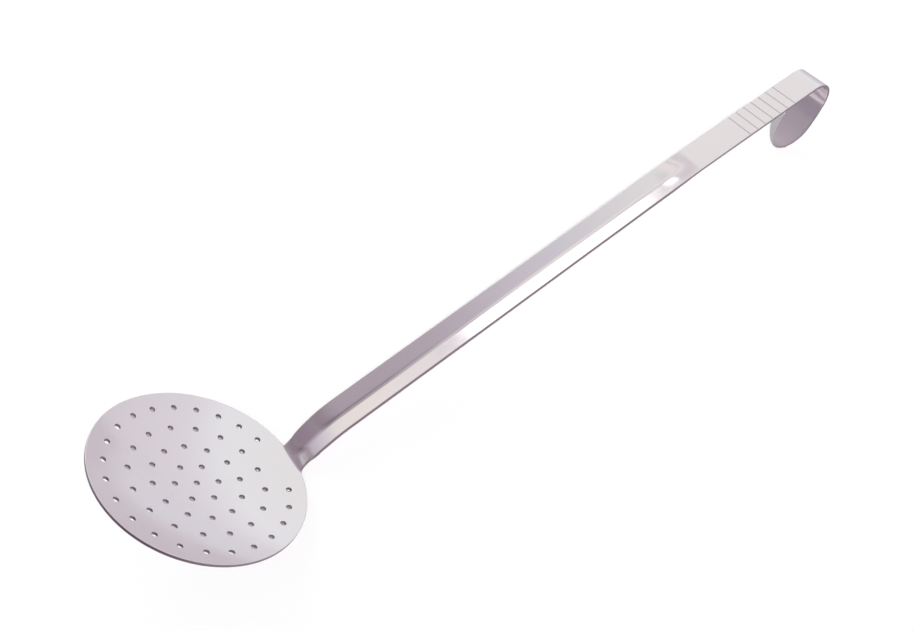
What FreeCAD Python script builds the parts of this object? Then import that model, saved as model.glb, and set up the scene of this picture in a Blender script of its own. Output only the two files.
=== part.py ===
"""A one-piece kitchen skimmer, pressed from a single blank of stainless sheet.

The sheet starts as a shallow round bowl with rings of holes. Near the rim it bends up
into a long handle with a pressed V groove, the groove runs out into a flat grip with
cross lines, and the end is bent back into a hook with a rounded tip.

The piece is first built in the bowl's own frame: X from the bowl's centre towards the
handle, Y across, Z along the bowl's axis, with the bowl's inner bottom at the origin.
At the end it is turned and set down as it lies on a table, on the bend at the bowl and
on the hook, with the origin under the middle of its bounding box.
"""
import FreeCAD, Part
import math
import os

from FreeCAD import Base, Vector

# Sheet
SHEET_THICKNESS = 2.0

# Bowl
BOWL_DIAMETER = 120.0
BOWL_DEPTH = 8.7

# Holes: one in the middle, rings round it and an outer ring set in from the rim
HOLE_DIAMETER = 3.2
RING_SPACING = 12.5
INNER_RING_HOLES = (6, 12, 16)
INNER_RING_TURNS = (-7.5, -7.5, 0.0)
OUTER_RING_MARGIN = 9.5
OUTER_RING_HOLES = 24
OUTER_RING_TURN = 7.5
HOLES_LEFT_OUT_AT_NECK = 2

# Handle, seen from the side
NECK_BEND_INSET = 2.7
NECK_BEND_RADIUS = 2.0
NECK_RISE_ANGLE = 76.5
SWEEP_RADIUS = 85.0
HANDLE_RISE_ANGLE = 49.8
HANDLE_LENGTH = 263.5
GRIP_RISE_ANGLE = 48.05
GRIP_LENGTH = 95.0

# Handle, seen from above
NECK_WIDTH = 20.1
HANDLE_WIDTH = 21.5
GRIP_WIDTH = 20.0
WIDEST_POINT = 30.0
APRON_WIDTH = 4.0

# Pressed groove
GROOVE_DEPTH = 2.8
GROOVE_CREASE_RADIUS = 1.0
GROOVE_RUN_IN = 7.0
GROOVE_RUN_OUT = 26.0

# Cross lines on the flat grip
LINE_COUNT = 7
LINE_SPACING = 6.3
LINE_WIDTH = 0.9
LINE_DEPTH = 0.25
LINE_END_GAP = 17.4

# Hook
HOOK_BEND_RADIUS = 16.4
HOOK_BEND_ANGLE = 117.5
HOOK_TAIL_RADIUS = 68.5
HOOK_TAIL_LENGTH = 40.0
HOOK_TIP_LENGTH = 22.0

BOWL_RADIUS = BOWL_DIAMETER / 2
SPHERE_RADIUS = (BOWL_RADIUS ** 2 + BOWL_DEPTH ** 2) / (2 * BOWL_DEPTH)
NECK_BEND_START = BOWL_RADIUS - NECK_BEND_INSET
OUTER_RING_RADIUS = BOWL_RADIUS - OUTER_RING_MARGIN
ACROSS = Vector(0, 1, 0)


class SheetPath:
    """The side profile of the sheet's upper face, as arcs and straight runs.

    It starts at the bowl's inner bottom and lies in the plane Y = 0. Lengths are
    measured along it, and angles are those of its direction above X.
    """

    def __init__(self):
        """Start the path with the bowl's own arc, up to the neck bend."""
        self.pieces = []
        self.length = 0.0
        self.point = Vector(0, 0, 0)
        self.angle = 0.0
        self.turn(SPHERE_RADIUS, math.asin(NECK_BEND_START / SPHERE_RADIUS))

    def turn(self, radius, angle):
        """Add an arc; a positive angle turns the path upwards."""
        curvature = math.copysign(1 / radius, angle)
        self.add(radius * abs(angle), curvature)

    def add(self, length, curvature=0.0):
        """Add a run of one curvature and move the path's end along it."""
        self.pieces.append((self.length, self.point, self.angle, curvature))
        self.length += length
        self.point, self.angle = self.at(self.length)

    def at(self, distance):
        """Return the point and the direction angle at a distance along the path."""
        start, point, angle, curvature = self.pieces[0]
        for piece in self.pieces:
            if piece[0] <= distance:
                start, point, angle, curvature = piece
        run = distance - start
        if curvature == 0.0:
            return point + along(angle) * run, angle
        end_angle = angle + curvature * run
        return point + (above(angle) - above(end_angle)) * (1 / curvature), end_angle


def along(angle):
    """Unit vector of a direction in the side view."""
    return Vector(math.cos(angle), 0, math.sin(angle))


def above(angle):
    """Unit vector square to a direction in the side view, on its upper side."""
    return Vector(-math.sin(angle), 0, math.cos(angle))


def smooth_step(value, start, end):
    """Rise from 0 at start to 1 at end, with no corner at either."""
    share = min(max((value - start) / (end - start), 0.0), 1.0)
    return share * share * (3 - 2 * share)


def make_handle_path():
    """Lay out the path from the bowl to the start of the hook."""
    path = SheetPath()
    rise = math.radians(NECK_RISE_ANGLE)
    path.turn(NECK_BEND_RADIUS, rise - path.angle)
    path.turn(SWEEP_RADIUS, math.radians(HANDLE_RISE_ANGLE) - rise)
    path.add(HANDLE_LENGTH)
    path.turn(SWEEP_RADIUS, math.radians(GRIP_RISE_ANGLE - HANDLE_RISE_ANGLE))
    path.add(GRIP_LENGTH)
    return path


PATH = make_handle_path()
NECK_START = SPHERE_RADIUS * math.asin(NECK_BEND_START / SPHERE_RADIUS)
NECK_END = PATH.pieces[2][0]
RIM_LENGTH = SPHERE_RADIUS * math.asin(BOWL_RADIUS / SPHERE_RADIUS)
GRIP_START = PATH.length - GRIP_LENGTH
LATTICE_REACH = BOWL_RADIUS + 2 * SHEET_THICKNESS
WALL_REACH = GROOVE_DEPTH + 2 * SHEET_THICKNESS


def handle_half_width(distance):
    """Half of the handle's width at a distance along the path."""
    widen = smooth_step(distance, RIM_LENGTH, RIM_LENGTH + WIDEST_POINT)
    narrow = smooth_step(distance, RIM_LENGTH + WIDEST_POINT, GRIP_START)
    width = NECK_WIDTH + (HANDLE_WIDTH - NECK_WIDTH) * widen
    return (width + (GRIP_WIDTH - HANDLE_WIDTH) * narrow) / 2


def groove_depth(distance):
    """Depth of the pressed groove at a distance along the path."""
    start = smooth_step(distance, NECK_END, NECK_END + GROOVE_RUN_IN)
    end = smooth_step(distance, GRIP_START - GROOVE_RUN_OUT, GRIP_START)
    return GROOVE_DEPTH * start * (1 - end)


def bowl_point(distance, across):
    """Point of the bowl's upper face."""
    tilt = distance / SPHERE_RADIUS
    reach = math.sqrt(SPHERE_RADIUS ** 2 - across ** 2)
    return Vector(reach * math.sin(tilt), across, SPHERE_RADIUS - reach * math.cos(tilt))


def groove_rise(distance, across):
    """Height of a point of the groove's flanks above the line of the strip's edges."""
    half = handle_half_width(distance)
    soft = math.hypot(across, GROOVE_CREASE_RADIUS) - GROOVE_CREASE_RADIUS
    full = math.hypot(half, GROOVE_CREASE_RADIUS) - GROOVE_CREASE_RADIUS
    return groove_depth(distance) * (soft / full - 1)


def strip_point(distance, across):
    """Point of the upper face of the bent and grooved strip, carried on sideways."""
    point, angle = PATH.at(distance)
    crown = SPHERE_RADIUS - math.sqrt(SPHERE_RADIUS ** 2 - across ** 2)
    crown *= 1 - smooth_step(distance, NECK_START, NECK_END)
    return point + ACROSS * across + above(angle) * (groove_rise(distance, across) + crown)


def sheet_point(distance, across):
    """Point of the sheet's upper face, where the bowl's rim blends into the neck."""
    if distance <= NECK_START:
        return bowl_point(distance, across)
    half = handle_half_width(distance)
    beside = smooth_step(abs(across), half - APRON_WIDTH / 3, half + APRON_WIDTH)
    fade_start = RIM_LENGTH + SHEET_THICKNESS / 2
    beside *= 1 - smooth_step(distance, fade_start, RIM_LENGTH + 3 * APRON_WIDTH)
    return strip_point(distance, across) * (1 - beside) + bowl_point(distance, across) * beside


def sheet_normal(distance, across):
    """Unit normal of the upper face, from points close by."""
    step = 0.01
    lengthwise = sheet_point(distance + step, across) - sheet_point(distance - step, across)
    sideways = sheet_point(distance, across + step) - sheet_point(distance, across - step)
    return lengthwise.cross(sideways).normalize()


def spread(breaks):
    """Values from the first break to the last, evenly spaced between two breaks.

    Each break is a pair: where it is, and the largest step up to the next one.
    """
    values = []
    for (start, step), (end, _) in zip(breaks, breaks[1:]):
        count = math.ceil((end - start) / step)
        values += [start + (end - start) * i / count for i in range(count)]
    return values + [breaks[-1][0]]


def lattice_face(lengths, offsets, depth):
    """One smooth face through points of the sheet, at a depth below its upper face."""
    rows = [[sheet_point(a, c) - sheet_normal(a, c) * depth for c in offsets] for a in lengths]
    surface = Part.BSplineSurface()
    surface.interpolate(rows)
    return surface.toShape()


def solid_between(upper, lower):
    """Close the gap between two faces of the same outline with ruled sides."""
    sides = [Part.makeRuledSurface(a, b) for a, b in zip(upper.Edges, lower.Edges)]
    shell = Part.Shell([upper, lower] + sides)
    solid = Part.Solid(shell)
    solid.fix(1e-6, 1e-6, 1e-4)
    if solid.Volume < 0:
        solid.reverse()
    return solid


def pressed_block():
    """The bowl, neck and grooved handle, wider and longer than their outline."""
    lengths = spread([
        (-LATTICE_REACH, 9.0),
        (NECK_START - 16, 4.5),
        (NECK_START - 7, 2.0),
        (NECK_START - 3, 1.0),
        (NECK_START - 1, 0.5),
        (NECK_END + 1, 1.0),
        (NECK_END + 3, 1.6),
        (NECK_END + 2 * GROOVE_RUN_IN, 3.0),
        (NECK_END + 3 * GROOVE_RUN_IN, 6.0),
        (RIM_LENGTH + 2 * WIDEST_POINT, 12.0),
        (GRIP_START - 2 * GROOVE_RUN_OUT, 6.0),
        (GRIP_START - GROOVE_RUN_OUT, 3.5),
        (GRIP_START + GROOVE_RUN_OUT, 0.0),
    ])
    crease = 1.6 * GROOVE_CREASE_RADIUS
    neck = NECK_WIDTH / 2
    half = spread([
        (0.0, 0.55),
        (crease, 1.0),
        (neck - APRON_WIDTH / 2, 0.8),
        (neck + 1.2 * APRON_WIDTH, 1.5),
        (neck + 2.2 * APRON_WIDTH, 3.0),
        (neck + 4 * APRON_WIDTH, 6.0),
        (LATTICE_REACH, 0.0),
    ])
    offsets = [-value for value in reversed(half[1:])] + half
    return solid_between(lattice_face(lengths, offsets, 0.0), lattice_face(lengths, offsets, SHEET_THICKNESS))


def side_wall(side):
    """One side wall of the handle, square to the sheet's edge, carried on past both faces.

    Below the neck bend it goes straight on, to take in the bend's outside.
    """
    lengths = spread([
        (NECK_END - 2 * SHEET_THICKNESS, 1.0),
        (NECK_END + 2 * GROOVE_RUN_IN, 2.0),
        (NECK_END + 4 * GROOVE_RUN_IN, 4.0),
        (GRIP_START - GROOVE_RUN_OUT, 2.0),
        (GRIP_START, 0.0),
    ])
    rows = []
    for distance in lengths:
        point, angle = PATH.at(max(distance, NECK_END))
        point += along(angle) * min(distance - NECK_END, 0.0)
        half = handle_half_width(distance)
        outer, inner = half + GROOVE_CREASE_RADIUS / 2, half - GROOVE_CREASE_RADIUS / 2
        slope = (groove_rise(distance, outer) - groove_rise(distance, inner)) / (outer - inner) * side
        square = above(angle) - ACROSS * slope
        edge = point + ACROSS * (side * half)
        rows.append([edge + square * height for height in (WALL_REACH, 0.0, -WALL_REACH)])
    surface = Part.BSplineSurface()
    surface.interpolate(rows)
    return surface.toShape()


def handle_envelope():
    """A solid round the handle, whose sides are the sheet's side walls."""
    return solid_between(side_wall(1), side_wall(-1))


def pressed_sheet():
    """The bowl, neck and grooved handle, trimmed to their outline."""
    tall = 10 * BOWL_DEPTH
    disc = Part.makeCylinder(BOWL_RADIUS, 2 * tall, Vector(0, 0, -tall))
    return pressed_block().common(disc.fuse(handle_envelope()))


def turned(point, centre, angle):
    """A point turned about a crossways axis through a centre, by radians."""
    return centre + Base.Rotation(ACROSS, math.degrees(angle)).multVec(point - centre)


def crossways_section(distance):
    """The flat sheet's rectangular section at a distance along the path."""
    point, angle = PATH.at(distance)
    half = GRIP_WIDTH / 2
    corners = [point + ACROSS * (side * half) - above(angle) * depth
               for side, depth in ((1, 0), (-1, 0), (-1, SHEET_THICKNESS), (1, SHEET_THICKNESS))]
    return Part.Face(Part.makePolygon(corners + corners[:1]))


def grip():
    """The flat grip, from the end of the groove to the hook."""
    run = PATH.at(PATH.length)[0] - PATH.at(GRIP_START)[0]
    return crossways_section(GRIP_START).extrude(run)


class HookLayout:
    """Where the hook's bend, tail and tip lie in the side view."""

    def __init__(self):
        """Work the places out from the end of the grip."""
        start, angle = PATH.at(PATH.length)
        self.bend_centre = start - above(angle) * HOOK_BEND_RADIUS
        self.tail_start = turned(start, self.bend_centre, math.radians(HOOK_BEND_ANGLE))
        inward = (self.bend_centre - self.tail_start).normalize()
        self.tail_centre = self.tail_start + inward * HOOK_TAIL_RADIUS
        tip_root_angle = (HOOK_TAIL_LENGTH - HOOK_TIP_LENGTH) / HOOK_TAIL_RADIUS
        tip_angle = tip_root_angle + math.asin(HOOK_TIP_LENGTH / HOOK_TAIL_RADIUS)
        self.tip_root = turned(self.tail_start, self.tail_centre, tip_root_angle)
        self.tip_end = turned(self.tail_start, self.tail_centre, tip_angle)

    def bend(self):
        """The bend that follows the grip."""
        return crossways_section(PATH.length).revolve(self.bend_centre, ACROSS, HOOK_BEND_ANGLE)

    def tail(self):
        """The wide curve after the bend, with its rounded tip."""
        section = crossways_section(PATH.length)
        section.rotate(self.bend_centre, ACROSS, HOOK_BEND_ANGLE)
        length = HOOK_TAIL_LENGTH + SHEET_THICKNESS
        tail = section.revolve(self.tail_centre, ACROSS, math.degrees(length / HOOK_TAIL_RADIUS))
        return tail.cut(self.tip_cutter())

    def tip_cutter(self):
        """What is cut off round the tip: a plate with a half-ellipse taken out."""
        half = GRIP_WIDTH / 2
        outward = (self.tip_root - self.tail_centre).normalize()
        forward = ACROSS.cross(outward)
        reach = HOOK_TIP_LENGTH + 4 * SHEET_THICKNESS
        wide = half + SHEET_THICKNESS
        room = outward * (6 * SHEET_THICKNESS)
        base = self.tip_root - room
        ellipse = Part.Ellipse(base + forward * HOOK_TIP_LENGTH, base + ACROSS * half, base)
        disc = Part.Face(Part.Wire(ellipse.toShape())).extrude(room * 2)
        corners = [base + ACROSS * (side * wide) + forward * ahead
                   for side, ahead in ((1, 0), (-1, 0), (-1, reach), (1, reach))]
        return Part.Face(Part.makePolygon(corners + corners[:1])).extrude(room * 2).cut(disc)


def hole_ring(radius, count, start):
    """Centres of one ring of holes, the first at a start angle from the handle."""
    angles = [math.radians(start + index * 360 / count) for index in range(count)]
    return [Vector(math.cos(angle), math.sin(angle), 0) * radius for angle in angles]


def hole_cutters():
    """Punches for the middle hole, the rings that fit and the outer ring."""
    centres = [Vector(0, 0, 0)]
    for number, (count, start) in enumerate(zip(INNER_RING_HOLES, INNER_RING_TURNS), 1):
        if number * RING_SPACING <= OUTER_RING_RADIUS - RING_SPACING:
            centres += hole_ring(number * RING_SPACING, count, start)
    clear_of_neck = math.cos(math.pi / OUTER_RING_HOLES * HOLES_LEFT_OUT_AT_NECK) * OUTER_RING_RADIUS
    outer_ring = hole_ring(OUTER_RING_RADIUS, OUTER_RING_HOLES, OUTER_RING_TURN)
    centres += [centre for centre in outer_ring if centre.x <= clear_of_neck]
    length = 2 * BOWL_DEPTH + 4 * SHEET_THICKNESS
    below = Vector(0, 0, -2 * SHEET_THICKNESS)
    return [Part.makeCylinder(HOLE_DIAMETER / 2, length, centre + below) for centre in centres]


def line_cutters():
    """Rods that press the cross lines into the grip."""
    radius = (LINE_WIDTH ** 2 / 4 + LINE_DEPTH ** 2) / (2 * LINE_DEPTH)
    cutters = []
    for index in range(LINE_COUNT):
        point, angle = PATH.at(PATH.length - LINE_END_GAP - index * LINE_SPACING)
        centre = point + above(angle) * (radius - LINE_DEPTH) - ACROSS * GRIP_WIDTH
        cutters.append(Part.makeCylinder(radius, 2 * GRIP_WIDTH, centre, ACROSS))
    return cutters


def laid_down(shape):
    """Turn the piece so that it rests on the neck bend and the hook's tip."""
    hook = HookLayout()
    start, angle = PATH.at(NECK_START)
    neck_centre = start + above(angle) * NECK_BEND_RADIUS
    neck_outside = NECK_BEND_RADIUS + SHEET_THICKNESS
    to_tip = hook.tip_end - neck_centre
    tilt = math.atan2(to_tip.z, to_tip.x) + math.asin(neck_outside / to_tip.Length)
    turn = Base.Rotation(ACROSS, math.degrees(tilt))
    underside_radius = SPHERE_RADIUS + SHEET_THICKNESS
    rim_underside = SPHERE_RADIUS - math.sqrt(underside_radius ** 2 - BOWL_RADIUS ** 2)
    left = turn.multVec(Vector(-BOWL_RADIUS, 0, rim_underside)).x
    right = turn.multVec(hook.bend_centre).x + HOOK_BEND_RADIUS
    table = turn.multVec(neck_centre).z - neck_outside
    shape.rotate(Vector(0, 0, 0), ACROSS, math.degrees(tilt))
    shape.translate(Vector(-(left + right) / 2, 0, -table))
    return shape


def make_skimmer():
    """Join the stretches of sheet, punch and press the details and lay it down."""
    hook = HookLayout()
    sheet = pressed_sheet().fuse([grip(), hook.bend(), hook.tail()])
    return laid_down(sheet.cut(hole_cutters() + line_cutters()))


skimmer = make_skimmer()
print("solids", len(skimmer.Solids), "valid", skimmer.isValid(), "volume", round(skimmer.Volume))
os.makedirs("parts", exist_ok=True)
skimmer.exportStep("parts/skimmer.step")
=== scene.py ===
"""Studio picture of a one-piece stainless skimmer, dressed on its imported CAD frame.

The visible sheet is cut as a flat blank, punched, divided finely and then pressed into the
same shape as the CAD node that it replaces. All sizes of the sheet are millimetres until
the last step, which lays it on the table in metres.
"""

import logging
import math
from collections.abc import Callable
from dataclasses import dataclass, field
from enum import Enum, IntEnum

import bmesh
import bpy
from mathutils import Matrix, Quaternion, Vector


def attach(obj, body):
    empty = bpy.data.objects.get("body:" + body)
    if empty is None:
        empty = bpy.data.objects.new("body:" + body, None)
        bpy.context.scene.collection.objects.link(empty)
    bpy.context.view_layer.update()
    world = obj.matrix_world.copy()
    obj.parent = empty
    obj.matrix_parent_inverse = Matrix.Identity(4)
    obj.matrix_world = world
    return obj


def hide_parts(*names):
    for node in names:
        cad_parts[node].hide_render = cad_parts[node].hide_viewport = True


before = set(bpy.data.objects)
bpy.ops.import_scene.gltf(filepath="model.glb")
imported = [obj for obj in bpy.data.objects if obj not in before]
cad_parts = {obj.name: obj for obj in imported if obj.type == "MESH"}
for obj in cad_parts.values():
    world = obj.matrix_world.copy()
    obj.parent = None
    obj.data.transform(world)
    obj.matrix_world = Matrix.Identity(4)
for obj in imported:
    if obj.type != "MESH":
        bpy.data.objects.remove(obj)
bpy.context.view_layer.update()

log = logging.getLogger("skimmer")

MM = 0.001
ACROSS = Vector((0.0, 1.0, 0.0))
Colour = tuple[float, float, float, float]
Tone = tuple[float, float, float]
Place = tuple[float, float, float]
Bands = tuple[tuple[float, Tone], ...]
WHITE: Colour = (1.0, 1.0, 1.0, 1.0)


class Axis(IntEnum):
    """Directions on the flat blank."""

    LENGTHWISE = 0
    SIDEWAYS = 1


class Fade(Enum):
    """How a value goes from one end to the other."""

    LINEAR = "LINEAR"
    SMOOTH = "SMOOTHSTEP"


class Maths(Enum):
    """What a maths node does with its two values."""

    ADD = "ADD"
    MULTIPLY = "MULTIPLY"


class Blend(Enum):
    """How two colours go together."""

    MULTIPLY = "MULTIPLY"
    LIGHTEN = "LIGHTEN"


def along(angle: float) -> Vector:
    """Unit vector of a direction in the side view."""
    return Vector((math.cos(angle), 0.0, math.sin(angle)))


def above(angle: float) -> Vector:
    """Unit vector square to a direction in the side view, on its upper side."""
    return Vector((-math.sin(angle), 0.0, math.cos(angle)))


def smooth_step(value: float, start: float, end: float) -> float:
    """Rise from 0 at start to 1 at end, with no corner at either.

    Args:
        value: Where to read the rise.
        start: Where it begins.
        end: Where it is complete.

    Returns:
        The share that is complete, from 0 to 1.
    """
    share = min(max((value - start) / (end - start), 0.0), 1.0)
    return share * share * (3.0 - 2.0 * share)


class SidePath:
    """Side profile of the sheet's upper face, as runs of constant curvature."""

    def __init__(self) -> None:
        """Start at the bowl's bottom, heading along X."""
        self.runs: list[tuple[float, Vector, float, float]] = []
        self.length = 0.0
        self.point = Vector((0.0, 0.0, 0.0))
        self.angle = 0.0

    def add(self, length: float, curvature: float = 0.0) -> None:
        """Add a run of one curvature, positive upwards.

        Args:
            length: How long the run is.
            curvature: Its curvature, 0 for a straight run.
        """
        self.runs.append((self.length, self.point.copy(), self.angle, curvature))
        self.length += length
        self.point, self.angle = self.at(self.length)

    def turn(self, radius: float, degrees: float) -> None:
        """Add an arc that turns the path by an angle, positive upwards."""
        self.add(radius * abs(math.radians(degrees)), math.copysign(1.0 / radius, degrees))

    def at(self, distance: float) -> tuple[Vector, float]:
        """Read the path.

        Args:
            distance: Length along the path from the bowl's bottom.

        Returns:
            The point there and the path's angle above X.
        """
        start, point, angle, curvature = self.runs[0]
        for run in self.runs:
            if run[0] <= distance:
                start, point, angle, curvature = run
        reach = distance - start
        if curvature == 0.0:
            return point + along(angle) * reach, angle
        end = angle + curvature * reach
        return point + (above(angle) - above(end)) / curvature, end


@dataclass
class SheetForm:
    """The pressed form of the sheet: bowl, neck, grooved handle, grip and hook.

    Lengths are millimetres, and rises are degrees above the bowl's rim plane. The slack
    keeps the sheet inside the solid's reach. Over the wall blend, the bowl's cut walls
    turn square to the strip.
    """

    thickness: float = 2.0
    bowl_radius: float = 60.0
    bowl_depth: float = 8.7
    neck_inset: float = 2.7
    neck_radius: float = 2.0
    neck_rise: float = 76.5
    sweep_radius: float = 85.0
    handle_rise: float = 49.8
    handle_length: float = 263.5
    grip_rise: float = 48.05
    grip_length: float = 95.0
    neck_width: float = 20.1
    handle_width: float = 21.5
    grip_width: float = 20.0
    widest_point: float = 30.0
    apron: float = 4.0
    groove_depth: float = 2.8
    crease_radius: float = 1.0
    groove_run_in: float = 4.0
    groove_run_out: float = 26.0
    hook_radius: float = 16.4
    hook_angle: float = 117.5
    tail_radius: float = 68.5
    tail_length: float = 40.0
    tip_length: float = 22.0
    line_count: int = 7
    line_spacing: float = 6.3
    line_width: float = 0.9
    line_depth: float = 0.25
    line_end_gap: float = 17.4
    slack: float = 0.015
    wall_blend: float = 2.0
    slope_step: float = 0.02
    slope_shown: float = 0.6

    def __post_init__(self) -> None:
        """Lay out the side path and the places along it."""
        self.sphere = (self.bowl_radius**2 + self.bowl_depth**2) / (2 * self.bowl_depth)
        start_angle = math.asin((self.bowl_radius - self.neck_inset) / self.sphere)
        self.path = SidePath()
        self.path.add(self.sphere * start_angle, 1.0 / self.sphere)
        self.neck_start = self.path.length
        self.path.turn(self.neck_radius, self.neck_rise - math.degrees(start_angle))
        self.neck_end = self.path.length
        self.path.turn(self.sweep_radius, self.handle_rise - self.neck_rise)
        self.sweep_end = self.path.length
        self.path.add(self.handle_length)
        self.path.turn(self.sweep_radius, self.grip_rise - self.handle_rise)
        self.grip_start = self.path.length
        self.path.add(self.grip_length)
        self.hook_start = self.path.length
        self.path.turn(self.hook_radius, -self.hook_angle)
        self.tail_start = self.path.length
        self.path.add(self.tail_length, -1.0 / self.tail_radius)
        self.tip_root = self.tail_start + self.tail_length - self.tip_length
        tip_angle = math.asin(self.tip_length / self.tail_radius)
        self.tip_end = self.tip_root + self.tail_radius * tip_angle
        self.rim_length = self.sphere * math.asin(self.bowl_radius / self.sphere)

    def half_width(self, distance: float) -> float:
        """Width of the strip, halved.

        Args:
            distance: Length along the path.

        Returns:
            Half of the width there.
        """
        widest = self.rim_length + self.widest_point
        widen = smooth_step(distance, self.rim_length, widest)
        narrow = smooth_step(distance, widest, self.grip_start)
        width = self.neck_width + (self.handle_width - self.neck_width) * widen
        return (width + (self.grip_width - self.handle_width) * narrow) / 2

    def groove(self, distance: float) -> float:
        """Depth of the pressed groove.

        Args:
            distance: Length along the path.

        Returns:
            The depth of its crease there, below the line of the strip's edges.
        """
        start = smooth_step(distance, self.neck_end, self.neck_end + self.groove_run_in)
        end = smooth_step(distance, self.grip_start - self.groove_run_out, self.grip_start)
        return self.groove_depth * start * (1.0 - end)

    def blank_place(self, x: float, y: float) -> tuple[float, float]:
        """Where a point of the bowl, seen from above, lies on the flat blank.

        Args:
            x: Its place towards the handle, from the bowl's middle.
            y: Its place across.

        Returns:
            The length along the blank and the distance from its middle line.
        """
        reach = math.sqrt(self.sphere**2 - y**2)
        return self.sphere * math.asin(x / reach), y

    def on_bowl(self, distance: float, across: float) -> Vector:
        """Point of the bowl's upper face.

        Args:
            distance: Length along the sheet from the bowl's bottom.
            across: Distance from its middle line.

        Returns:
            The point in the bowl's own frame.
        """
        tilt = distance / self.sphere
        reach = math.sqrt(self.sphere**2 - across**2)
        return Vector((reach * math.sin(tilt), across, self.sphere - reach * math.cos(tilt)))

    def on_strip(self, distance: float, across: float, groove: float) -> Vector:
        """Point of the strip's upper face.

        Args:
            distance: Length along the sheet from the bowl's bottom.
            across: Distance from its middle line.
            groove: Depth of the pressed groove there.

        Returns:
            The point in the bowl's own frame.
        """
        point, angle = self.path.at(distance)
        half = self.half_width(distance)
        soft = math.hypot(across, self.crease_radius) - self.crease_radius
        full = math.hypot(half, self.crease_radius) - self.crease_radius
        crown = self.sphere - math.sqrt(self.sphere**2 - across**2)
        crown *= 1.0 - smooth_step(distance, self.neck_start, self.neck_end)
        rise = groove * (soft / full - 1.0) + crown
        return point + ACROSS * across + above(angle) * rise

    def upper_face(self, distance: float, across: float, groove: float) -> Vector:
        """Point of the sheet's upper face, where the rim blends into the neck.

        Args:
            distance: Length along the sheet from the bowl's bottom.
            across: Distance from its middle line.
            groove: Depth of the pressed groove there.

        Returns:
            The point in the bowl's own frame.
        """
        if distance <= self.neck_start:
            return self.on_bowl(distance, across)
        half = self.half_width(distance)
        fade_start = self.rim_length + self.thickness / 2
        beside = smooth_step(abs(across), half - self.apron / 3, half + self.apron)
        beside *= 1.0 - smooth_step(distance, fade_start, self.rim_length + 3 * self.apron)
        strip = self.on_strip(distance, across, groove)
        if beside == 0.0:
            return strip
        return strip.lerp(self.on_bowl(distance, across), beside)

    def punched_place(self, distance: float, across: float, depth: float) -> tuple[float, float]:
        """Where a blank's point goes so that the bowl's cut walls stay in line with its axis.

        Args:
            distance: Length along the sheet.
            across: Distance from its middle line.
            depth: Depth below the upper face.

        Returns:
            The distance and offset to press it at.
        """
        half = self.half_width(distance)
        on_strip = smooth_step(distance, self.neck_start - self.wall_blend, self.neck_start)
        on_strip *= 1.0 - smooth_step(abs(across), half, half + self.apron)
        draw = 1.0 - (1.0 - on_strip) * depth / (self.sphere + depth)
        return distance * draw, across * draw

    def basis(self, distance: float, across: float) -> tuple[Vector, Vector, Vector]:
        """Directions of the sheet at a point.

        The short ramp where the groove starts is left out, and the long one at its end is
        softened. The underside and the shading follow these directions, so that it stays
        off the table and shows one smooth pressing.

        Args:
            distance: Length along the sheet.
            across: Distance from its middle line.

        Returns:
            Unit vectors lengthwise, sideways and square to the upper face.
        """
        step = self.slope_step
        here = self.groove(distance)
        on_run_in = distance < self.neck_end + self.groove_run_in
        rising = 0.0 if on_run_in else self.slope_shown
        after = here + (self.groove(distance + step) - here) * rising
        before = here + (self.groove(distance - step) - here) * rising
        ahead = self.upper_face(distance + step, across, after)
        ahead -= self.upper_face(distance - step, across, before)
        aside = self.upper_face(distance, across + step, here)
        aside -= self.upper_face(distance, across - step, here)
        return ahead.normalized(), aside.normalized(), ahead.cross(aside).normalized()

    def line_places(self) -> list[float]:
        """Distances of the cross lines along the path."""
        last = self.hook_start - self.line_end_gap
        return [last - index * self.line_spacing for index in range(self.line_count)]

    def line_dent(self, distance: float) -> float:
        """Depth of the pressed cross lines.

        Args:
            distance: Length along the path.

        Returns:
            The depth there, 0 beside the lines.
        """
        nearest = min(abs(distance - place) for place in self.line_places())
        offset = nearest / (self.line_width / 2)
        return self.line_depth * max(1.0 - offset * offset, 0.0)

    def rest_placement(self) -> Matrix:
        """How the finished piece lies on the table, a hair inside the solid's reach.

        Returns:
            The turn, shift and change to metres, as one matrix.
        """
        hook_start, hook_rise = self.path.at(self.hook_start)
        hook_centre = hook_start - above(hook_rise) * self.hook_radius
        start, angle = self.path.at(self.neck_start)
        neck_centre = start + above(angle) * self.neck_radius
        neck_outside = self.neck_radius + self.thickness
        to_tip = self.path.at(self.tip_end)[0] - neck_centre
        tilt = math.atan2(to_tip.z, to_tip.x) + math.asin(neck_outside / to_tip.length)
        turn = Quaternion(ACROSS, tilt)
        outer = self.sphere + self.thickness
        rim_underside = self.sphere - math.sqrt(outer**2 - self.bowl_radius**2)
        left = (turn @ Vector((-self.bowl_radius, 0.0, rim_underside))).x
        right = (turn @ hook_centre).x + self.hook_radius
        table = (turn @ neck_centre).z - neck_outside
        shift = Matrix.Translation((-(left + right) / 2 - self.slack, 0.0, -table))
        return Matrix.Scale(MM, 4) @ shift @ turn.to_matrix().to_4x4()


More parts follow.
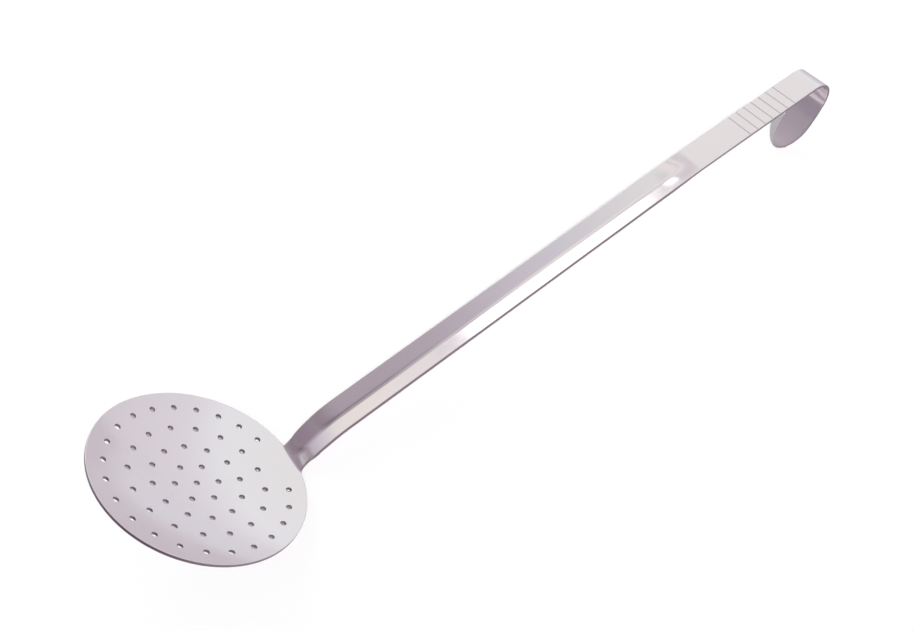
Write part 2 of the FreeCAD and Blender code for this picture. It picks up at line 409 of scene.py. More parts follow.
@dataclass
class HolePattern:
    """The bowl's round holes: one in the middle and four rings."""

    diameter: float = 3.2
    flare: float = 0.2
    ring_radii: tuple[float, ...] = (12.5, 25.0, 37.5, 50.5)
    ring_counts: tuple[int, ...] = (6, 12, 16, 24)
    ring_turns: tuple[float, ...] = (-7.5, -7.5, 0.0, 7.5)
    left_out_at_neck: int = 2
    overreach: float = 0.4
    sides: int = 32

    def centres(self) -> list[tuple[float, float]]:
        """Lay out the holes in the bowl, seen from above.

        Returns:
            Their centres, without those that the neck leaves no room for.
        """
        centres = [(0.0, 0.0)]
        for radius, count, turn in zip(self.ring_radii, self.ring_counts, self.ring_turns):
            for index in range(count):
                angle = math.radians(turn) + math.tau * index / count
                centres.append((math.cos(angle) * radius, math.sin(angle) * radius))
        outer = self.ring_radii[-1]
        clear = outer * math.cos(math.pi / self.ring_counts[-1] * self.left_out_at_neck)
        return [place for place in centres if place[0] <= clear or math.hypot(*place) < outer - 1]

    def punches(self, form: SheetForm) -> bmesh.types.BMesh:
        """Round punches that leave a small rounded flare at both faces.

        Args:
            form: The sheet that they go through.

        Returns:
            The punches as closed solids, in the blank's measures.
        """
        radius, flare, over = self.diameter / 2, self.flare, self.overreach
        low = -form.thickness
        levels = (
            (over, radius + over + flare),
            (-flare * 0.5, radius + flare * 0.4),
            (-flare * 1.5, radius),
            (low + flare * 1.5, radius),
            (low + flare * 0.5, radius + flare * 0.4),
            (low - over, radius + over + flare),
        )
        tool = bmesh.new()
        for x, y in self.centres():
            centre = Vector((*form.blank_place(x, y), 0.0))
            verts = bmesh.ops.create_circle(
                tool, cap_ends=True, segments=self.sides, radius=1.0
            )["verts"]
            face = verts[0].link_faces[0]
            rays = {vert: vert.co.copy() for vert in verts}
            for level, (height, size) in enumerate(levels):
                if level:
                    grown = bmesh.ops.extrude_face_region(tool, geom=[face])["geom"]
                    if level > 1:
                        bmesh.ops.delete(tool, geom=[face], context="FACES_ONLY")
                    face = next(part for part in grown if isinstance(part, bmesh.types.BMFace))
                    rays = {vert: self.ray(vert.co - centre) for vert in face.verts}
                for vert in face.verts:
                    vert.co = centre + rays[vert] * size + Vector((0.0, 0.0, height))
        bmesh.ops.recalc_face_normals(tool, faces=tool.faces[:])
        return tool

    @staticmethod
    def ray(offset: Vector) -> Vector:
        """Level unit direction of an offset."""
        return Vector((offset.x, offset.y, 0.0)).normalized()


@dataclass(frozen=True)
class SteelFinish:
    """Satin-polished stainless sheet, with rougher punched edges that are also coloured darker as
    painted shade.
    """

    name: str = "satin_stainless"
    colour: Colour = (0.80, 0.77, 0.785, 1.0)
    # Painted shade: cut walls and rounded edges are coloured darker than the face.
    painted_edge_shade: Colour = (0.38, 0.33, 0.36, 1.0)
    roughness: float = 0.135
    edge_roughness: float = 0.42
    grain_length: float = 70.0
    grain_width: float = 2200.0
    grain_strength: float = 0.06
    smudge_size: float = 40.0
    smudge_strength: float = 0.06
    grain_depth: float = 0.002
    bump_strength: float = 0.3

    def material(self) -> bpy.types.Material:
        """Build the material from the grain, the handling marks and the painted shade of the cut
        edges.

        Returns:
            The material, which reads the sheet's blank UV map and cut_edge attribute.
        """
        material = bpy.data.materials.new(self.name)
        material.use_nodes = True
        nodes, links = material.node_tree.nodes, material.node_tree.links
        steel = nodes["Principled BSDF"]
        steel.inputs["Metallic"].default_value = 1.0

        blank = nodes.new("ShaderNodeUVMap")
        blank.uv_map = "blank"
        edge = nodes.new("ShaderNodeAttribute")
        edge.attribute_name = "cut_edge"
        grain = nodes.new("ShaderNodeGroup")
        grain.node_tree = drawn_grain()
        grain.inputs["Length"].default_value = self.grain_length
        grain.inputs["Width"].default_value = self.grain_width
        marks = nodes.new("ShaderNodeGroup")
        marks.node_tree = handling_marks()
        marks.inputs["Size"].default_value = self.smudge_size
        for pattern in (grain, marks):
            links.new(blank.outputs["UV"], pattern.inputs["Vector"])

        # Painted shade: the cut_edge mask darkens the colour on cut walls and rounded edges.
        tone_with_edge_shade = nodes.new("ShaderNodeMix")
        tone_with_edge_shade.data_type = "RGBA"
        tone_with_edge_shade.inputs["A"].default_value = self.colour
        tone_with_edge_shade.inputs["B"].default_value = self.painted_edge_shade
        links.new(edge.outputs["Fac"], tone_with_edge_shade.inputs["Factor"])
        links.new(tone_with_edge_shade.outputs["Result"], steel.inputs["Base Color"])

        streak = math_node(nodes, Maths.MULTIPLY, self.grain_strength)
        links.new(grain.outputs["Mask"], streak.inputs[0])
        smear = math_node(nodes, Maths.MULTIPLY, self.smudge_strength)
        links.new(marks.outputs["Mask"], smear.inputs[0])
        both = math_node(nodes, Maths.ADD)
        links.new(streak.outputs["Value"], both.inputs[0])
        links.new(smear.outputs["Value"], both.inputs[1])
        smoothest = self.roughness - (self.grain_strength + self.smudge_strength) / 2
        base = math_node(nodes, Maths.ADD, smoothest)
        links.new(both.outputs["Value"], base.inputs[0])
        rough = nodes.new("ShaderNodeMix")
        rough.data_type = "FLOAT"
        rough.inputs["B"].default_value = self.edge_roughness
        links.new(edge.outputs["Fac"], rough.inputs["Factor"])
        links.new(base.outputs["Value"], rough.inputs["A"])
        links.new(rough.outputs["Result"], steel.inputs["Roughness"])

        bump = nodes.new("ShaderNodeBump")
        bump.inputs["Strength"].default_value = self.bump_strength
        bump.inputs["Distance"].default_value = self.grain_depth * MM
        links.new(grain.outputs["Height"], bump.inputs["Height"])
        links.new(bump.outputs["Normal"], steel.inputs["Normal"])
        return material


def math_node(nodes: bpy.types.Nodes, operation: Maths, value: float = 0.0) -> bpy.types.Node:
    """Add a maths node.

    Args:
        nodes: The nodes to add to.
        operation: What it does.
        value: Its second value.

    Returns:
        The node, with its first value still to be linked.
    """
    node = nodes.new("ShaderNodeMath")
    node.operation = operation.value
    node.inputs[1].default_value = value
    return node


def range_node(
    nodes: bpy.types.Nodes, low: float, high: float, fade: Fade = Fade.LINEAR
) -> bpy.types.Node:
    """Add a node that takes values from low to high onto 0 to 1.

    Args:
        nodes: The nodes to add to.
        low: The value that gives 0.
        high: The value that gives 1.
        fade: How it goes from one to the other.

    Returns:
        The node.
    """
    node = nodes.new("ShaderNodeMapRange")
    node.interpolation_type = fade.value
    node.inputs["From Min"].default_value = low
    node.inputs["From Max"].default_value = high
    return node


def dot_node(
    tree: bpy.types.NodeTree, direction: bpy.types.NodeSocket, towards: Place
) -> bpy.types.NodeSocket:
    """Measure how far a vector goes towards a fixed one.

    Args:
        tree: The node tree to add to.
        direction: The socket that gives the vector.
        towards: The fixed vector.

    Returns:
        The socket that gives their dot product.
    """
    node = tree.nodes.new("ShaderNodeVectorMath")
    node.operation = "DOT_PRODUCT"
    node.inputs[1].default_value = towards
    tree.links.new(direction, node.inputs[0])
    return node.outputs["Value"]


def blend_colours(
    tree: bpy.types.NodeTree,
    blend: Blend,
    first: bpy.types.NodeSocket,
    second: bpy.types.NodeSocket,
) -> bpy.types.NodeSocket:
    """Blend two colours fully.

    Args:
        tree: The node tree to add to.
        blend: How they go together.
        first: The socket of the one below.
        second: The socket of the one on top.

    Returns:
        The socket that gives the result.
    """
    mix = tree.nodes.new("ShaderNodeMix")
    mix.data_type = "RGBA"
    mix.blend_type = blend.value
    mix.inputs["Factor"].default_value = 1.0
    tree.links.new(first, mix.inputs["A"])
    tree.links.new(second, mix.inputs["B"])
    return mix.outputs["Result"]


def overlay(
    tree: bpy.types.NodeTree, output: str, share: bpy.types.NodeSocket, glow: bpy.types.NodeSocket
) -> None:
    """Mix a shader over the one that reaches an output node.

    Args:
        tree: The node tree.
        output: The output node's name.
        share: The socket that gives how much of the new shader shows.
        glow: The socket of the new shader.
    """
    surface = tree.nodes[output].inputs["Surface"]
    mix = tree.nodes.new("ShaderNodeMixShader")
    tree.links.new(share, mix.inputs["Fac"])
    tree.links.new(surface.links[0].from_socket, mix.inputs[1])
    tree.links.new(glow, mix.inputs[2])
    tree.links.new(mix.outputs["Shader"], surface)


def settle_order(
    parts: bmesh.types.BMVertSeq | bmesh.types.BMEdgeSeq | bmesh.types.BMFaceSeq,
    where: Callable[..., tuple[float, ...]],
) -> None:
    """Sort the parts of a mesh by place, as a boolean leaves them in any order.

    Args:
        parts: The vertices, edges or faces.
        where: Gives the place of one of them.
    """
    for number, part in enumerate(sorted(parts, key=where)):
        part.index = number
    parts.sort()


def add_object(name: str, data: bpy.types.ID) -> bpy.types.Object:
    """Put data into the scene.

    Args:
        name: The new object's name.
        data: Its mesh, lamp or camera.

    Returns:
        The object.
    """
    added = bpy.data.objects.new(name, data)
    bpy.context.scene.collection.objects.link(added)
    return added


def add_mesh(name: str, shape: bmesh.types.BMesh) -> bpy.types.Object:
    """Put a shape into the scene.

    Args:
        name: The name of the new object and its mesh.
        shape: The shape, which is used up.

    Returns:
        The object.
    """
    mesh = bpy.data.meshes.new(name)
    shape.to_mesh(mesh)
    shape.free()
    return add_object(name, mesh)


def new_group(name: str, inputs: dict[str, float], outputs: tuple[str, ...]) -> bpy.types.NodeTree:
    """Make a shader node group with a Vector input and number sockets.

    Args:
        name: The group's name.
        inputs: Names and default values of its number inputs.
        outputs: Names of its number outputs.

    Returns:
        The group, with its input and output nodes in place.
    """
    group = bpy.data.node_groups.new(name, "ShaderNodeTree")
    group.interface.new_socket("Vector", in_out="INPUT", socket_type="NodeSocketVector")
    for label, value in inputs.items():
        socket = group.interface.new_socket(label, in_out="INPUT", socket_type="NodeSocketFloat")
        socket.default_value = value
    for label in outputs:
        group.interface.new_socket(label, in_out="OUTPUT", socket_type="NodeSocketFloat")
    group.nodes.new("NodeGroupInput")
    group.nodes.new("NodeGroupOutput")
    return group


def drawn_grain() -> bpy.types.NodeTree:
    """Fine grain drawn out lengthwise, as rolling and satin polishing leave it.

    Returns:
        A group with a Mask of the grain and a Height for bumps.
    """
    group = new_group("drawn_grain", {"Length": 50.0, "Width": 1000.0}, ("Mask", "Height"))
    nodes, links = group.nodes, group.links
    source, target = nodes["Group Input"], nodes["Group Output"]
    scale = nodes.new("ShaderNodeCombineXYZ")
    links.new(source.outputs["Length"], scale.inputs["X"])
    links.new(source.outputs["Width"], scale.inputs["Y"])
    stretch = nodes.new("ShaderNodeVectorMath")
    stretch.operation = "MULTIPLY"
    links.new(source.outputs["Vector"], stretch.inputs[0])
    links.new(scale.outputs["Vector"], stretch.inputs[1])
    noise = nodes.new("ShaderNodeTexNoise")
    noise.noise_dimensions = "2D"
    noise.inputs["Scale"].default_value = 1.0
    noise.inputs["Detail"].default_value = 4.0
    noise.inputs["Roughness"].default_value = 0.6
    links.new(stretch.outputs["Vector"], noise.inputs["Vector"])
    contrast = range_node(nodes, 0.3, 0.7)
    links.new(noise.outputs["Fac"], contrast.inputs["Value"])
    links.new(contrast.outputs["Result"], target.inputs["Mask"])
    links.new(noise.outputs["Fac"], target.inputs["Height"])
    return group


def handling_marks() -> bpy.types.NodeTree:
    """Soft smudges of handling, as a mask that changes slowly over the sheet.

    Returns:
        A group with a Mask from 0 to 1.
    """
    group = new_group("handling_marks", {"Size": 30.0}, ("Mask",))
    nodes, links = group.nodes, group.links
    source, target = nodes["Group Input"], nodes["Group Output"]
    noise = nodes.new("ShaderNodeTexNoise")
    noise.inputs["Detail"].default_value = 3.0
    noise.inputs["Roughness"].default_value = 0.55
    links.new(source.outputs["Vector"], noise.inputs["Vector"])
    links.new(source.outputs["Size"], noise.inputs["Scale"])
    spread = range_node(nodes, 0.35, 0.65, Fade.SMOOTH)
    links.new(noise.outputs["Fac"], spread.inputs["Value"])
    links.new(spread.outputs["Result"], target.inputs["Mask"])
    return group


@dataclass
class PressedSheet:
    """The whole skimmer, made the way a press shop makes it: cut, punched and pressed."""

    form: SheetForm
    holes: HolePattern
    finish: SteelFinish
    edge_round: float = 0.35
    edge_segments: int = 3
    outline_steps: int = 240
    strip_lead: float = 1.0
    strip_step: float = 8.0
    tip_steps: int = 24
    tip_bluntness: float = 0.03
    neck_reach: float = 6.0
    bowl_step: float = 2.5
    bowl_margin: float = 1.0
    cut_tolerance: float = 0.0005
    face_tolerance: float = 1e-4
    least_dent: float = 0.01

    def strip_outline(self) -> list[tuple[float, float]]:
        """Lay out the strip, from just past the rim to the tip.

        Returns:
            Distances along it, each with half of the width there.
        """
        form = self.form
        outline = []
        distance = form.rim_length + self.strip_lead
        while distance < form.tip_root:
            outline.append((distance, form.half_width(distance)))
            distance += self.strip_step
        for index in range(self.tip_steps + 1):
            angle = math.pi / 2 * index / self.tip_steps
            width = max(math.cos(angle), self.tip_bluntness) * form.grip_width / 2
            reach = form.tip_length * math.sin(angle)
            ahead = form.tail_radius * math.asin(reach / form.tail_radius)
            outline.append((form.tip_root + ahead, width))
        return outline

    def cut_blank(self) -> bmesh.types.BMesh:
        """Cut the flat blank: a disc with the strip drawn out of its straight side.

        Returns:
            A slab in blank measures, X along the sheet and Z from 0 down to its thickness.
        """
        form = self.form
        blank = bmesh.new()
        bmesh.ops.create_circle(
            blank, cap_ends=True, segments=self.outline_steps, radius=form.bowl_radius
        )
        half = form.half_width(form.rim_length)
        bmesh.ops.bisect_plane(
            blank,
            geom=blank.faces[:] + blank.edges[:] + blank.verts[:],
            plane_co=(math.sqrt(form.bowl_radius**2 - half**2), 0, 0),
            plane_no=(1, 0, 0),
            clear_outer=True,
        )
        for vert in blank.verts:
            vert.co = Vector((*form.blank_place(vert.co.x, vert.co.y), 0.0))
        end = max(blank.edges, key=lambda edge: min(v.co.x for v in edge.verts))
        for distance, width in self.strip_outline():
            grown = bmesh.ops.extrude_edge_only(blank, edges=[end])["geom"]
            end = next(part for part in grown if isinstance(part, bmesh.types.BMEdge))
            for vert in end.verts:
                vert.co = Vector((distance, math.copysign(width, vert.co.y), 0.0))
        bmesh.ops.recalc_face_normals(blank, faces=blank.faces[:])
        bmesh.ops.dissolve_faces(blank, faces=blank.faces[:])
        grown = bmesh.ops.extrude_face_region(blank, geom=blank.faces[:])["geom"]
        moved = [part for part in grown if isinstance(part, bmesh.types.BMVert)]
        bmesh.ops.translate(blank, verts=moved, vec=(0, 0, -form.thickness))
        bmesh.ops.recalc_face_normals(blank, faces=blank.faces[:])
        rims = [
            edge
            for edge in blank.edges
            if abs(edge.verts[0].co.z - edge.verts[1].co.z) < form.thickness / 2
        ]
        bmesh.ops.bevel(
            blank,
            geom=rims,
            offset=self.edge_round,
            segments=self.edge_segments,
            profile=0.5,
            affect="EDGES",
            material=-1,
        )
        return blank

    def punch(self, blank: bmesh.types.BMesh) -> bmesh.types.BMesh:
        """Punch the holes through the blank.

        Args:
            blank: The closed blank, which is used up.

        Returns:
            The blank with its holes.
        """
        work = add_mesh("blank", blank)
        tool = add_mesh("punches", self.holes.punches(self.form))
        cut = work.modifiers.new("punch", "BOOLEAN")
        cut.operation = "DIFFERENCE"
        cut.solver = "EXACT"
        cut.object = tool
        depsgraph = bpy.context.evaluated_depsgraph_get()
        result = bpy.data.meshes.new_from_object(work.evaluated_get(depsgraph))
        punched = bmesh.new()
        punched.from_mesh(result)
        settle_order(punched.verts, lambda vert: vert.co[:])
        settle_order(punched.edges, lambda edge: (edge.verts[0].co + edge.verts[1].co)[:])
        settle_order(punched.faces, lambda face: face.calc_center_median()[:])
        bpy.data.meshes.remove(result)
        for used in (work, tool):
            mesh = used.data
            bpy.data.objects.remove(used)
            bpy.data.meshes.remove(mesh)
        return punched

    def lengthwise_steps(self) -> list[float]:
        """Divide the length, finer where the sheet bends more.

        Returns:
            The distances at which the blank is cut, in rising order.
        """
        form = self.form
        stops = [
            (-form.bowl_radius - form.apron, self.bowl_step),
            (form.neck_start - self.neck_reach, 1.0),
            (form.neck_start - 1.0, 0.25),
            (form.neck_start, (form.neck_end - form.neck_start) / 14),
            (form.neck_end, 0.25),
            (form.neck_end + 1.0, 0.4),
            (form.neck_end + form.groove_run_in, 2.0),
            (form.sweep_end, 8.0),
            (form.grip_start - form.groove_run_out, 1.5),
            (form.grip_start, 8.0),
        ]
        for place in sorted(form.line_places()):
            stops.append((place - form.line_width / 2, form.line_width / 8))
            stops.append((place + form.line_width / 2, form.line_spacing))
        stops += [(form.hook_start, 0.9), (form.tail_start, 2.0), (form.tip_end, 0.0)]
        return self.spread(stops)

    def sideways_steps(self) -> tuple[list[float], list[float]]:
        """Divide the width, finer at the crease and at the strip's edges.

        Returns:
            The offsets at which the strip is cut, and those for the bowl beside it.
        """
        half = self.form.neck_width / 2
        strip = self.spread(
            [(0.0, 0.3), (1.5, 0.6), (3.3, 1.2), (half - 2.0, 0.5), (half + 4.5, 0.0)]
        )
        bowl = self.spread([(half + 5.0, self.bowl_step), (self.form.bowl_radius, 0.0)])
        return [-place for place in strip[1:]] + strip, [-place for place in bowl] + bowl

    @staticmethod
    def spread(stops: list[tuple[float, float]]) -> list[float]:
        """Divide a length evenly between two stops.

        Args:
            stops: Where each stop is, and the largest step after it.

        Returns:
            Values from the first stop to the last.
        """
        values: list[float] = []
        for (start, step), (end, _) in zip(stops, stops[1:]):
            count = max(1, math.ceil((end - start) / step - 1e-6))
            values += [start + (end - start) * index / count for index in range(count)]
        return values + [stops[-1][0]]

    def divide(self, blank: bmesh.types.BMesh) -> None:
        """Divide the blank along its length and its width, ready for pressing.

        Args:
            blank: The punched blank.
        """
        strip, beside = self.sideways_steps()
        reach = self.form.bowl_radius + self.bowl_margin
        across_bowl = self.spread([(-reach, self.bowl_step), (reach, 0.0)])
        self.cut_along(blank, blank.faces[:], self.lengthwise_steps(), Axis.LENGTHWISE)
        border = self.form.neck_start - self.neck_reach
        near_neck = [face for face in blank.faces if face.calc_center_median().x > border]
        rest = [face for face in blank.faces if face.calc_center_median().x <= border]
        self.cut_along(blank, near_neck, sorted(strip + beside), Axis.SIDEWAYS)
        rest = [face for face in rest if face.is_valid]
        self.cut_along(blank, rest, across_bowl, Axis.SIDEWAYS)

    def cut_along(
        self,
        blank: bmesh.types.BMesh,
        faces: list[bmesh.types.BMFace],
        places: list[float],
        axis: Axis,
    ) -> None:
        """Cut faces along parallel planes, halving the list of planes each time.

        Args:
            blank: The mesh that the faces are part of.
            faces: The faces to cut.
            places: Where the planes cross the axis, in rising order.
            axis: The direction that the planes are square to.
        """
        if not places or not faces:
            return
        middle = len(places) // 2
        square = Vector((0.0, 0.0, 0.0))
        square[axis] = 1.0
        geom = faces + list(dict.fromkeys(edge for face in faces for edge in face.edges))
        geom += list(dict.fromkeys(vert for face in faces for vert in face.verts))
        parts = bmesh.ops.bisect_plane(
            blank,
            geom=geom,
            dist=self.cut_tolerance,
            plane_co=square * places[middle],
            plane_no=square,
        )["geom"]
        faces = [part for part in parts if isinstance(part, bmesh.types.BMFace)]
        sides = {face: face.calc_center_median()[axis] < places[middle] for face in faces}
        before = [face for face in faces if sides[face]]
        self.cut_along(blank, before, places[:middle], axis)
        after = [face for face in faces if not sides[face] and face.is_valid]
        self.cut_along(blank, after, places[middle + 1:], axis)

    def mark(self, blank: bmesh.types.BMesh) -> list[bool]:
        """Map the blank for its finish, and press in the cross lines.

        Args:
            blank: The divided blank.

        Returns:
            For each vertex, whether it is on one of the two flat faces.
        """
        form = self.form
        cut_edge = blank.verts.layers.float.new("cut_edge")
        blank_map = blank.loops.layers.uv.new("blank")
        for face in blank.faces:
            for loop in face.loops:
                loop[blank_map].uv = (loop.vert.co.x * MM, loop.vert.co.y * MM)
        flat = []
        for vert in blank.verts:
            depth = -vert.co.z
            inside = min(depth, form.thickness - depth)
            flat.append(inside < self.face_tolerance)
            vert[cut_edge] = smooth_step(inside, 0.0, self.edge_round)
            if depth < self.face_tolerance:
                vert.co.z = -form.line_dent(vert.co.x)
        blank.normal_update()
        return flat

    def press(self, blank: bmesh.types.BMesh) -> list[Vector]:
        """Press the groove and all bends, and lay the sheet on the table.

        Args:
            blank: The divided blank, which is given its shape.

        Returns:
            The finished normal of each vertex.
        """
        form = self.form
        flat = self.mark(blank)
        place = form.rest_placement()
        turn = place.to_3x3().normalized()
        normals = []
        for vert, is_flat in zip(blank.verts, flat):
            distance, across, height = vert.co
            normal = vert.normal.copy()
            if is_flat and form.line_dent(distance) < self.least_dent * form.line_depth:
                normal = Vector((0.0, 0.0, math.copysign(1.0, normal.z)))
            distance, across = form.punched_place(distance, across, -min(height, 0.0))
            ahead, aside, up = form.basis(distance, across)
            point = form.upper_face(distance, across, form.groove(distance)) + up * height
            vert.co = place @ point
            pressed = ahead * normal.x + aside * normal.y + up * normal.z
            normals.append((turn @ pressed).normalized())
        return normals

    def build(self) -> bpy.types.Object:
        """Make the finished sheet.

        Returns:
            The sheet's object, lying on the table.
        """
        blank = self.punch(self.cut_blank())
        self.divide(blank)
        normals = self.press(blank)
        piece = add_mesh("skimmer_sheet", blank)
        piece.data.shade_smooth()
        piece.data.normals_split_custom_set_from_vertices(normals)
        piece.data.materials.append(self.finish.material())
        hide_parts("skimmer")
        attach(piece, "root")
        return piece


@dataclass(frozen=True)
class WindowLamp:
    """A soft rectangular lamp that faces the middle of the table."""

    name: str = "window"
    place: Place = (0.37, 1.3, 0.77)
    aim: Place = (0.0, 0.0, 0.04)
    width: float = 0.52
    height: float = 0.6
    glow: float = 1.1

    def hang(self) -> None:
        """Hang the lamp in the scene."""
        data = bpy.data.lights.new(self.name, "AREA")
        data.shape = "RECTANGLE"
        data.size = self.width
        data.size_y = self.height
        data.energy = self.glow * self.width * self.height * math.pi
        lamp = add_object(self.name, data)
        turn = (Vector(self.aim) - Vector(self.place)).to_track_quat("-Z", "Y")
        lamp.matrix_world = Matrix.Translation(self.place) @ turn.to_matrix().to_4x4()


@dataclass
class Studio:
    """Pale floor with a painted reflection for the steel, soft lamps, white backdrop and the
    camera of the photograph.
    """

    frame_width: int = 913
    sensor: float = 36.0
    focal_pixels: float = 878.7975
    camera_place: Vector = field(default_factory=lambda: Vector((-0.170339, -0.254945, 0.460629)))
    view_right: Vector = field(default_factory=lambda: Vector((0.81733, -0.56830, -0.09491)))
    view_up: Vector = field(default_factory=lambda: Vector((0.51839, 0.65341, 0.55166)))
    room_light: float = 0.36
    key_light: float = 0.70
    key_spread: float = 4.0
    key_from: Vector = field(default_factory=lambda: Vector((-0.02, -0.51, 0.855)))
    window: WindowLamp = WindowLamp()
    floor_radius: float = 6.0
    floor_sides: int = 96
    floor_paint: Colour = (0.94, 0.94, 0.94, 1.0)
    # Painted reflection: tones that the floor glows with to glossy rays only, darker near the
    # middle and paler beyond a soft edge.
    near_floor_reflection: Colour = (0.48, 0.37, 0.45, 1.0)
    far_floor_reflection: Colour = (0.70, 0.67, 0.75, 1.0)
    reflection_edge_towards: Place = (-0.42, 1.0, 0.0)
    reflection_edge: tuple[float, float] = (0.178, 0.192)
    mirrored_share: float = 0.6
    seen_share: float = 0.15
    far_side_reach: float = 0.38
    far_side_turn: float = 0.55
    low_towards: Place = (0.0, 0.6, 0.7)
    arch_towards: Place = (0.0, 0.83, -0.55)
    room_bands: Bands = (
        (-1.0, (0.29, 0.23, 0.27)),
        (-0.6, (0.35, 0.27, 0.32)),
        (-0.3, (0.43, 0.37, 0.41)),
        (-0.1, (0.50, 0.43, 0.48)),
        (0.02, (0.54, 0.47, 0.53)),
        (0.15, (0.71, 0.66, 0.73)),
        (0.25, (0.82, 0.80, 0.81)),
        (0.33, (0.96, 0.93, 0.91)),
        (0.50, (0.99, 0.93, 0.89)),
        (0.60, (0.97, 0.93, 0.92)),
        (0.64, (0.64, 0.61, 0.68)),
        (0.68, (0.96, 0.94, 0.93)),
        (0.76, (0.96, 0.94, 0.93)),
        (0.81, (0.76, 0.72, 0.75)),
        (0.89, (0.80, 0.76, 0.78)),
        (0.93, (0.96, 0.94, 0.93)),
    )
    low_bands: Bands = (
        (0.0, (0.70, 0.67, 0.74)),
        (0.2, (0.84, 0.81, 0.87)),
        (0.3, (0.87, 0.85, 0.905)),
        (0.40, (0.905, 0.905, 0.955)),
        (0.48, (1.0, 1.04, 1.07)),
        (0.60, (0.99, 1.02, 1.03)),
        (0.75, (1.0, 1.0, 1.0)),
    )
    arch_stops: Bands = (
        (-0.5, (1.0, 1.0, 1.0)),
        (-0.35, (0.5, 0.44, 0.5)),
        (-0.05, (0.5, 0.44, 0.5)),
        (0.12, (1.0, 1.0, 1.0)),
    )
    arch_sides: Bands = (
        (-0.53, (1.0, 1.0, 1.0)),
        (-0.45, (0.0, 0.0, 0.0)),
        (0.2, (0.0, 0.0, 0.0)),
        (0.35, (1.0, 1.0, 1.0)),
    )

    def add_camera(self) -> None:
        """Place the camera as the photograph was taken."""
        data = bpy.data.cameras.new("camera")
        data.sensor_width = self.sensor
        data.lens = self.focal_pixels * self.sensor / self.frame_width
        data.clip_start = 0.01
        camera = add_object("camera", data)
        right = self.view_right.normalized()
        back = right.cross(self.view_up).normalized()
        axes = Matrix((right, back.cross(right), back)).transposed()
        camera.matrix_world = Matrix.Translation(self.camera_place) @ axes.to_4x4()
        bpy.context.scene.camera = camera

    def add_floor(self) -> None:
        """Lay a pale floor that keeps the object's shadow and glows to glossy rays as a painted
        reflection.
        """
        shape = bmesh.new()
        bmesh.ops.create_circle(
            shape, cap_ends=True, segments=self.floor_sides, radius=self.floor_radius
        )
        floor = add_mesh("floor", shape)
        floor.data.materials.append(self.floor_material())

    def floor_material(self) -> bpy.types.Material:
        """Pale floor: near white to the camera, and a painted reflection in the steel: it glows to
        glossy rays, darker near the middle and paler beyond a soft edge.

        Returns:
            The material. Light that the floor sends to diffuse surfaces stays plain.
        """
        material = bpy.data.materials.new("pale_floor")
        material.use_nodes = True
        tree = material.node_tree
        nodes, links = tree.nodes, tree.links
        paint = nodes["Principled BSDF"]
        paint.inputs["Base Color"].default_value = self.floor_paint
        paint.inputs["Roughness"].default_value = 1.0
        paint.inputs["Specular IOR Level"].default_value = 0.0
        path = nodes.new("ShaderNodeLightPath")

        # Painted reflection: glossy rays see a glowing tone, darker near the middle and paler
        # beyond a soft edge, mixed over the lit paint.
        place = nodes.new("ShaderNodeTexCoord")
        edge = range_node(nodes, *self.reflection_edge, Fade.SMOOTH)
        beyond = dot_node(tree, place.outputs["Object"], self.reflection_edge_towards)
        links.new(beyond, edge.inputs["Value"])
        sheet = nodes.new("ShaderNodeMix")
        sheet.data_type = "RGBA"
        sheet.inputs["A"].default_value = self.near_floor_reflection
        sheet.inputs["B"].default_value = self.far_floor_reflection
        links.new(edge.outputs["Result"], sheet.inputs["Factor"])
        mirrored = nodes.new("ShaderNodeEmission")
        links.new(sheet.outputs["Result"], mirrored.inputs["Color"])
        seen = nodes.new("ShaderNodeEmission")
        seen.inputs["Color"].default_value = WHITE

        for ray, glow, share in (
            ("Is Glossy Ray", mirrored, self.mirrored_share),
            ("Is Camera Ray", seen, self.seen_share),
        ):
            amount = math_node(nodes, Maths.MULTIPLY, share)
            links.new(path.outputs[ray], amount.inputs[0])
            overlay(tree, "Material Output", amount.outputs["Value"], glow.outputs["Emission"])
        return material

    def add_world(self) -> None:
        """Surround the table with soft light, and white where the camera sees it."""
        world = bpy.data.worlds.new("studio")
        bpy.context.scene.world = world
        world.use_nodes = True
        tree = world.node_tree
        plain = tree.nodes["Background"]
        plain.inputs["Color"].default_value = WHITE
        plain.inputs["Strength"].default_value = self.room_light
        walls = tree.nodes.new("ShaderNodeBackground")
        tree.links.new(self.room_colour(tree), walls.inputs["Color"])
        seen = tree.nodes.new("ShaderNodeBackground")
        seen.inputs["Color"].default_value = WHITE
        path = tree.nodes.new("ShaderNodeLightPath")
        for ray, glow in (("Is Glossy Ray", walls), ("Is Camera Ray", seen)):
            overlay(tree, "World Output", path.outputs[ray], glow.outputs["Background"])

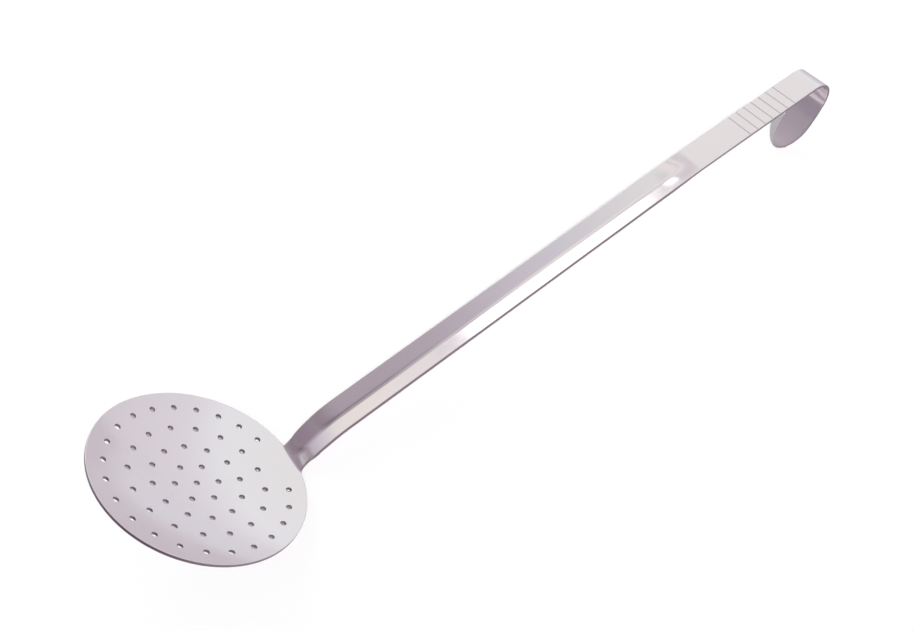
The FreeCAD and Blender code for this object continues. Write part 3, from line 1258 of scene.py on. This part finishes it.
    def room_colour(self, tree: bpy.types.NodeTree) -> bpy.types.NodeSocket:
        """Colour of the room in the steel: dim behind the camera, bright on the far side.

        Args:
            tree: The world's node tree.

        Returns:
            The socket that gives the colour for a direction.
        """
        nodes, links = tree.nodes, tree.links
        place = nodes.new("ShaderNodeTexCoord")
        parts = nodes.new("ShaderNodeSeparateXYZ")
        links.new(place.outputs["Generated"], parts.inputs[0])
        far_side = range_node(nodes, 0.0, self.far_side_reach)
        far_side.inputs["To Max"].default_value = self.far_side_turn
        links.new(parts.outputs["Y"], far_side.inputs["Value"])
        round_room = math_node(nodes, Maths.ADD)
        links.new(parts.outputs["X"], round_room.inputs[0])
        links.new(far_side.outputs["Result"], round_room.inputs[1])
        direction = place.outputs["Generated"]
        walls = self.band(tree, round_room.outputs["Value"], self.room_bands)
        low = self.band(tree, dot_node(tree, direction, self.low_towards), self.low_bands)
        arch = self.band(tree, parts.outputs["X"], self.arch_stops)
        sides = self.band(tree, dot_node(tree, direction, self.arch_towards), self.arch_sides)
        room = blend_colours(tree, Blend.MULTIPLY, walls, low)
        dark_arch = blend_colours(tree, Blend.LIGHTEN, arch, sides)
        return blend_colours(tree, Blend.MULTIPLY, room, dark_arch)

    @staticmethod
    def band(
        tree: bpy.types.NodeTree, value: bpy.types.NodeSocket, stops: Bands
    ) -> bpy.types.NodeSocket:
        """Colour that changes along a value.

        Args:
            tree: The node tree to add to.
            value: The socket that gives the value.
            stops: Values and the colours there, in rising order.

        Returns:
            The socket that gives the colour.
        """
        low, high = stops[0][0], stops[-1][0]
        share = range_node(tree.nodes, low, high)
        tree.links.new(value, share.inputs["Value"])
        ramp = tree.nodes.new("ShaderNodeValToRGB")
        marks = ramp.color_ramp.elements
        while len(marks) < len(stops):
            marks.new(0.5)
        for mark, (at, colour) in zip(marks, stops):
            mark.position = (at - low) / (high - low)
            mark.color = (*colour, 1.0)
        tree.links.new(share.outputs["Result"], ramp.inputs["Fac"])
        return ramp.outputs["Color"]

    def add_key(self) -> None:
        """Shine soft, even light from over the camera's shoulder, which throws the shadow."""
        data = bpy.data.lights.new("key", "SUN")
        data.angle = math.radians(self.key_spread)
        data.energy = self.key_light * math.pi / self.key_from.normalized().z
        key = add_object("key", data)
        key.rotation_euler = self.key_from.to_track_quat("Z", "Y").to_euler()
        key.visible_glossy = False

    def build(self) -> None:
        """Set up the whole studio."""
        bpy.context.scene.view_settings.view_transform = "Standard"
        self.add_camera()
        self.add_floor()
        self.add_world()
        self.add_key()
        self.window.hang()


def main() -> None:
    """Build the skimmer and its studio, and report each piece."""
    logging.basicConfig(level=logging.INFO, format="%(name)s: %(message)s")
    Studio().build()
    log.info("studio ready")
    sheet = PressedSheet(SheetForm(), HolePattern(), SteelFinish()).build()
    log.info("%s has %d faces", sheet.name, len(sheet.data.polygons))


if __name__ == "__main__":
    main()
